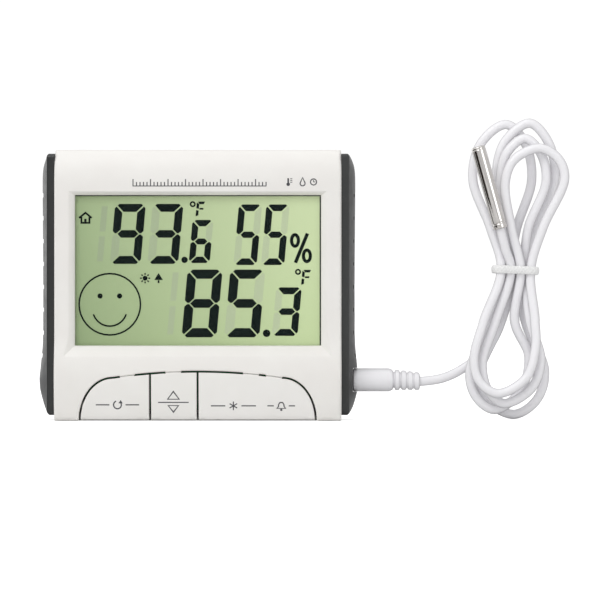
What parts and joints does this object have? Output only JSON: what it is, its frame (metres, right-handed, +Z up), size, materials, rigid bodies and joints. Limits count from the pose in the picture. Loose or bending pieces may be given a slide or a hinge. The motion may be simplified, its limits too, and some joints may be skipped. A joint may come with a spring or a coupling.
{
  "type": "maximum minimum thermometer",
  "caption": "Flat upright digital maximum minimum thermometer with a display recess, flexing front keys, soft side grips and a plug-in steel probe on a coiled white lead.",
  "frame": {"origin": "middle of the housing's width on its flat base, on the plane 10 mm in front of the back face", "axes": "+X to the reader's right, +Y out of the back, +Z up; the display faces -Y"},
  "size_m": [0.1854, 0.02, 0.1055],
  "materials": {
    "housing_white": "fine moulded satin",
    "sensor_white": "plain moulded",
    "grip_grey": "soft matt",
    "clear_window": "clear polished",
    "lcd_green": "reflective LCD",
    "black_plastic": "moulded",
    "elastomer": "striped elastomer",
    "board_green": "solder mask",
    "tinned_metal": "bright tinned",
    "cell_sleeve": "printed sleeve",
    "cable_white": "satin vinyl",
    "polished_steel": "polished",
    "tie_white": "braided elastic"
  },
  "bodies": {
    "housing": {"front_shell": "housing_white", "rear_shell": "housing_white", "left_grip": "grip_grey", "right_grip": "grip_grey", "display_window": "clear_window", "lcd_panel": "lcd_green", "lcd_frame": "black_plastic", "zebra_strip": "elastomer", "circuit_board": "board_green", "controller": "black_plastic", "crystal": "tinned_metal", "buzzer": "black_plastic", "humidity_sensor": "sensor_white", "air_sensor": "black_plastic", "jack_socket": "black_plastic", "left_switch_body": "black_plastic", "middle_switch_body": "black_plastic", "right_switch_body": "black_plastic", "board_screw_1": "tinned_metal", "board_screw_2": "tinned_metal", "board_screw_3": "tinned_metal", "board_screw_4": "tinned_metal", "case_screw_1": "tinned_metal", "case_screw_2": "tinned_metal", "case_screw_3": "tinned_metal", "case_screw_4": "tinned_metal", "unit_switch_body": "black_plastic", "battery": "cell_sleeve", "positive_contact": "tinned_metal", "negative_contact": "tinned_metal"},
    "left_key": {"left_key": "housing_white"},
    "middle_key": {"middle_key": "housing_white"},
    "right_key": {"right_key": "housing_white"},
    "left_plunger": {"left_switch_plunger": "tinned_metal"},
    "middle_plunger": {"middle_switch_plunger": "tinned_metal"},
    "right_plunger": {"right_switch_plunger": "tinned_metal"},
    "battery_door": {"battery_door": "housing_white"},
    "stand": {"stand": "housing_white"},
    "unit_slider": {"unit_switch_slider": "black_plastic"},
    "probe_lead": {"plug_body": "cable_white", "plug_shaft": "polished_steel", "probe_cable": "cable_white", "probe_tube": "polished_steel", "cable_tie": "tie_white"}
  },
  "joints": [
    {"name": "left_key_press", "type": "hinge", "parent": "housing", "child": "left_key", "pos_m": [-0.0245, -0.009, 0.0164], "axis": [1, 0, 0], "range_deg": [0, 3], "stiffness_Nm_per_rad": 0.05},
    {"name": "middle_key_press", "type": "hinge", "parent": "housing", "child": "middle_key", "pos_m": [-0.0085, -0.009, 0.0164], "axis": [1, 0, 0], "range_deg": [0, 3], "stiffness_Nm_per_rad": 0.05},
    {"name": "right_key_press", "type": "hinge", "parent": "housing", "child": "right_key", "pos_m": [0.0225, -0.009, 0.0164], "axis": [1, 0, 0], "range_deg": [0, 3], "stiffness_Nm_per_rad": 0.05},
    {"name": "left_plunger_slide", "type": "slide", "parent": "housing", "child": "left_plunger", "axis": [0, 1, 0], "range_m": [0, 0.0005]},
    {"name": "middle_plunger_slide", "type": "slide", "parent": "housing", "child": "middle_plunger", "axis": [0, 1, 0], "range_m": [0, 0.0005]},
    {"name": "right_plunger_slide", "type": "slide", "parent": "housing", "child": "right_plunger", "axis": [0, 1, 0], "range_m": [0, 0.0005]},
    {"name": "battery_door_hinge", "type": "hinge", "parent": "housing", "child": "battery_door", "pos_m": [0, 0.009, 0.0732], "axis": [1, 0, 0], "range_deg": [0, 75]},
    {"name": "stand_hinge", "type": "hinge", "parent": "housing", "child": "stand", "pos_m": [0, 0.0089, 0.047], "axis": [1, 0, 0], "range_deg": [0, 50]},
    {"name": "unit_switch_slide", "type": "slide", "parent": "housing", "child": "unit_slider", "axis": [1, 0, 0], "range_m": [0, 0.0025]},
    {"name": "plug_pull", "type": "slide", "parent": "housing", "child": "probe_lead", "axis": [1, 0, 0], "range_m": [0, 0.018]}
  ],
  "couplings": [
    {"joint": "left_plunger_slide", "follows": "left_key_press", "m_per_rad": 0.0084},
    {"joint": "middle_plunger_slide", "follows": "middle_key_press", "m_per_rad": 0.0084},
    {"joint": "right_plunger_slide", "follows": "right_key_press", "m_per_rad": 0.0084}
  ]
}
